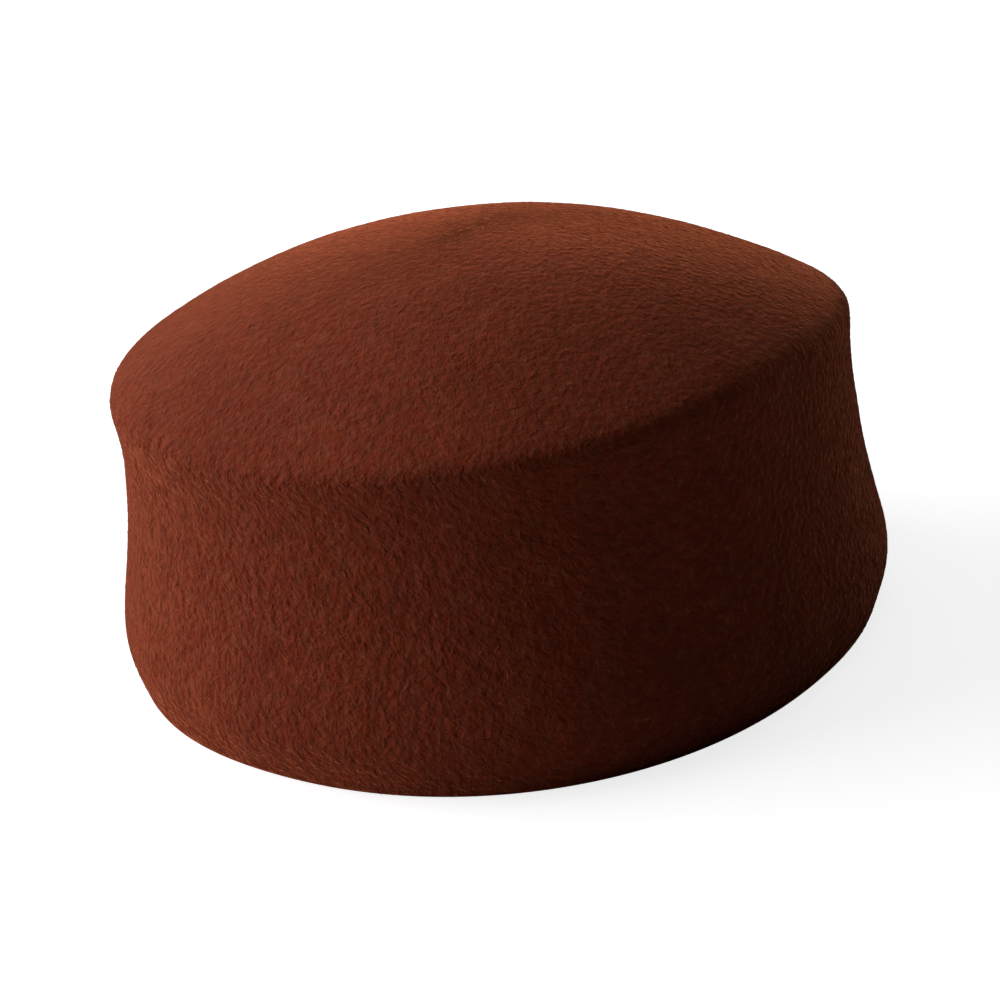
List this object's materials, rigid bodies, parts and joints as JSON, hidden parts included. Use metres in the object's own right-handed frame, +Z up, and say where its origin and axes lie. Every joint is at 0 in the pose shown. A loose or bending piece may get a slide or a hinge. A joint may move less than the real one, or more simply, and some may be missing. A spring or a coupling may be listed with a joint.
{
  "type": "pillbox hat",
  "caption": "Brimless round felt hat with a softly domed tip, a soft rounded shoulder and a side wall that flares to a plain cut rim, worn on top of the head.",
  "frame": {"origin": "middle of the hat's outline, at the underside of the rim", "axes": "+Z up along the hat's height, through the tip; +Y to the back of the hat, along its length; +X to the hat's right as seen from its front"},
  "size_m": [0.1822, 0.1916, 0.1013],
  "materials": {
    "felt": "matt rust-brown felt with a short curled nap"
  },
  "bodies": {
    "root": {"felt_body": "felt"}
  },
  "joints": []
}
